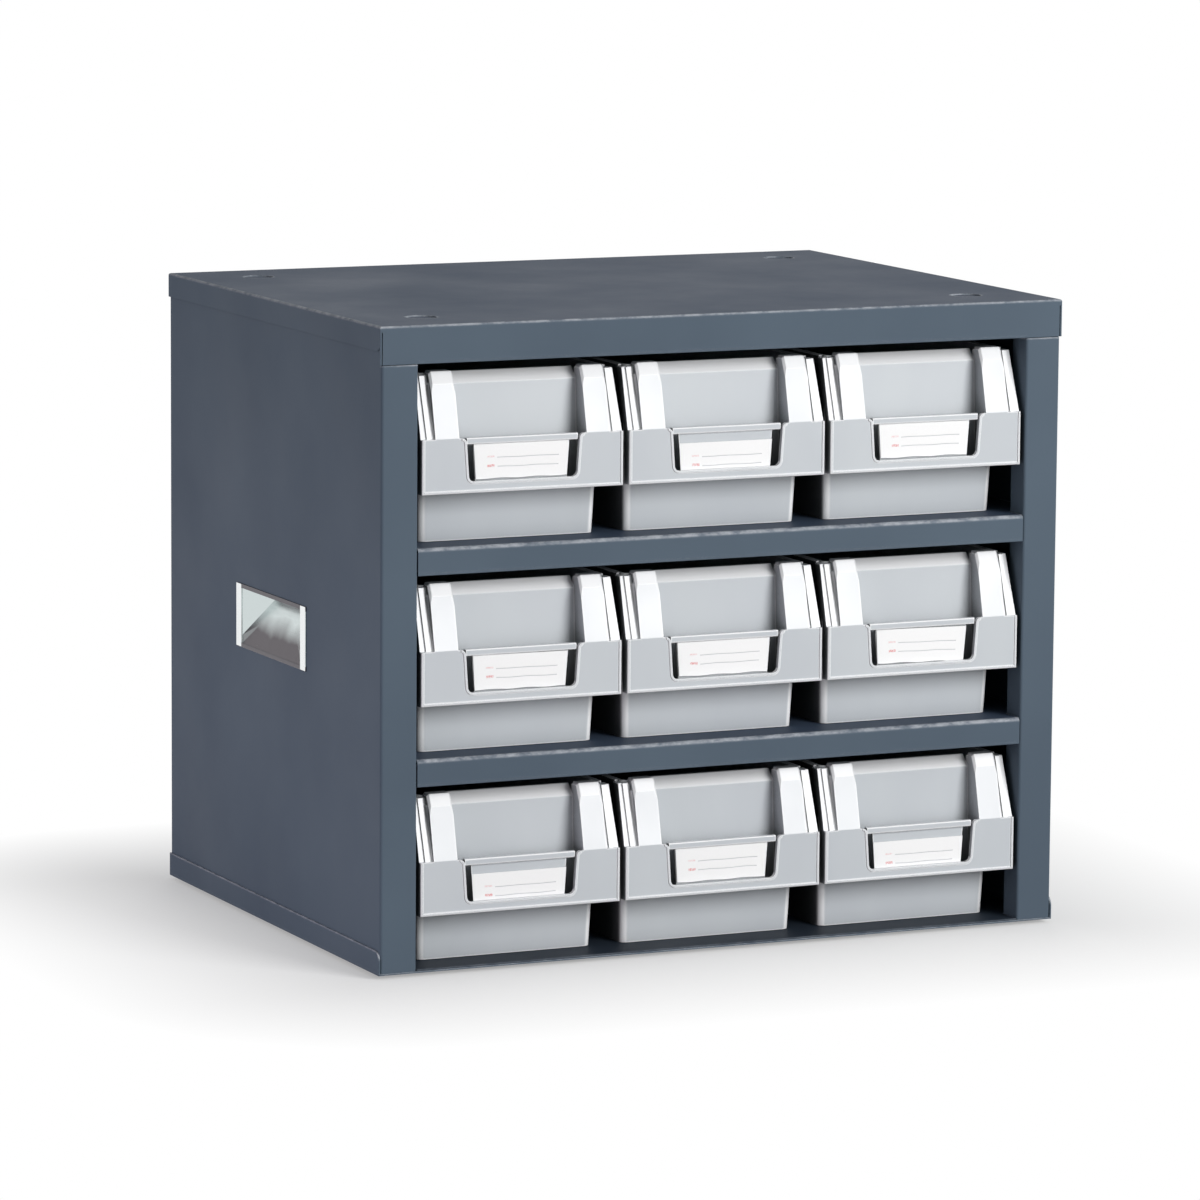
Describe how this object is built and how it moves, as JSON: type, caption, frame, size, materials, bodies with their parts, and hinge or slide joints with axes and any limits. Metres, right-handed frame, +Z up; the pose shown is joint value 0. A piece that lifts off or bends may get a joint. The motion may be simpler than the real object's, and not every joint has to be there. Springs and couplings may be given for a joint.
{
  "type": "small metal drawer cabinet",
  "caption": "Free-standing folded sheet-metal cabinet with rows of pull-out plastic bins, label holders in their lips, recessed side handles and stacking feet.",
  "frame": {"origin": "under the middle of the cabinet, on the surface that its feet stand on", "axes": "+Z up; -Y out of the front, the way the bins pull; +X to the right seen from the front"},
  "size_m": [0.5332, 0.405, 0.4579],
  "materials": {
    "cabinet_paint": "slate blue-grey powder coat, satin, fine texture",
    "bin_plastic": "moulded light grey polypropylene, satin",
    "label_card": null,
    "handle_plate": "bright plated steel",
    "rivet_metal": "satin",
    "foot_rubber": "matt black"
  },
  "bodies": {
    "cabinet": {"top_cover": "cabinet_paint", "bottom_pan": "cabinet_paint", "floor_shelf": "cabinet_paint", "lower_shelf": "cabinet_paint", "upper_shelf": "cabinet_paint", "left_side_panel": "cabinet_paint", "right_side_panel": "cabinet_paint", "back_panel": "cabinet_paint", "back_rivets": "rivet_metal", "left_handle": "handle_plate", "right_handle": "handle_plate", "foot_front_left": "foot_rubber", "foot_front_right": "foot_rubber", "foot_rear_left": "foot_rubber", "foot_rear_right": "foot_rubber"},
    "drawer_r1c1": {"bin_r1c1": "bin_plastic", "label_r1c1": "label_card"},
    "drawer_r1c2": {"bin_r1c2": "bin_plastic", "label_r1c2": "label_card"},
    "drawer_r1c3": {"bin_r1c3": "bin_plastic", "label_r1c3": "label_card"},
    "drawer_r2c1": {"bin_r2c1": "bin_plastic", "label_r2c1": "label_card"},
    "drawer_r2c2": {"bin_r2c2": "bin_plastic", "label_r2c2": "label_card"},
    "drawer_r2c3": {"bin_r2c3": "bin_plastic", "label_r2c3": "label_card"},
    "drawer_r3c1": {"bin_r3c1": "bin_plastic", "label_r3c1": "label_card"},
    "drawer_r3c2": {"bin_r3c2": "bin_plastic", "label_r3c2": "label_card"},
    "drawer_r3c3": {"bin_r3c3": "bin_plastic", "label_r3c3": "label_card"}
  },
  "joints": [
    {"name": "drawer_r1c1_slide", "type": "slide", "parent": "cabinet", "child": "drawer_r1c1", "axis": [0, -1, 0], "range_m": [0, 0.38]},
    {"name": "drawer_r1c2_slide", "type": "slide", "parent": "cabinet", "child": "drawer_r1c2", "axis": [0, -1, 0], "range_m": [0, 0.38]},
    {"name": "drawer_r1c3_slide", "type": "slide", "parent": "cabinet", "child": "drawer_r1c3", "axis": [0, -1, 0], "range_m": [0, 0.38]},
    {"name": "drawer_r2c1_slide", "type": "slide", "parent": "cabinet", "child": "drawer_r2c1", "axis": [0, -1, 0], "range_m": [0, 0.38]},
    {"name": "drawer_r2c2_slide", "type": "slide", "parent": "cabinet", "child": "drawer_r2c2", "axis": [0, -1, 0], "range_m": [0, 0.38]},
    {"name": "drawer_r2c3_slide", "type": "slide", "parent": "cabinet", "child": "drawer_r2c3", "axis": [0, -1, 0], "range_m": [0, 0.38]},
    {"name": "drawer_r3c1_slide", "type": "slide", "parent": "cabinet", "child": "drawer_r3c1", "axis": [0, -1, 0], "range_m": [0, 0.38]},
    {"name": "drawer_r3c2_slide", "type": "slide", "parent": "cabinet", "child": "drawer_r3c2", "axis": [0, -1, 0], "range_m": [0, 0.38]},
    {"name": "drawer_r3c3_slide", "type": "slide", "parent": "cabinet", "child": "drawer_r3c3", "axis": [0, -1, 0], "range_m": [0, 0.38]}
  ]
}
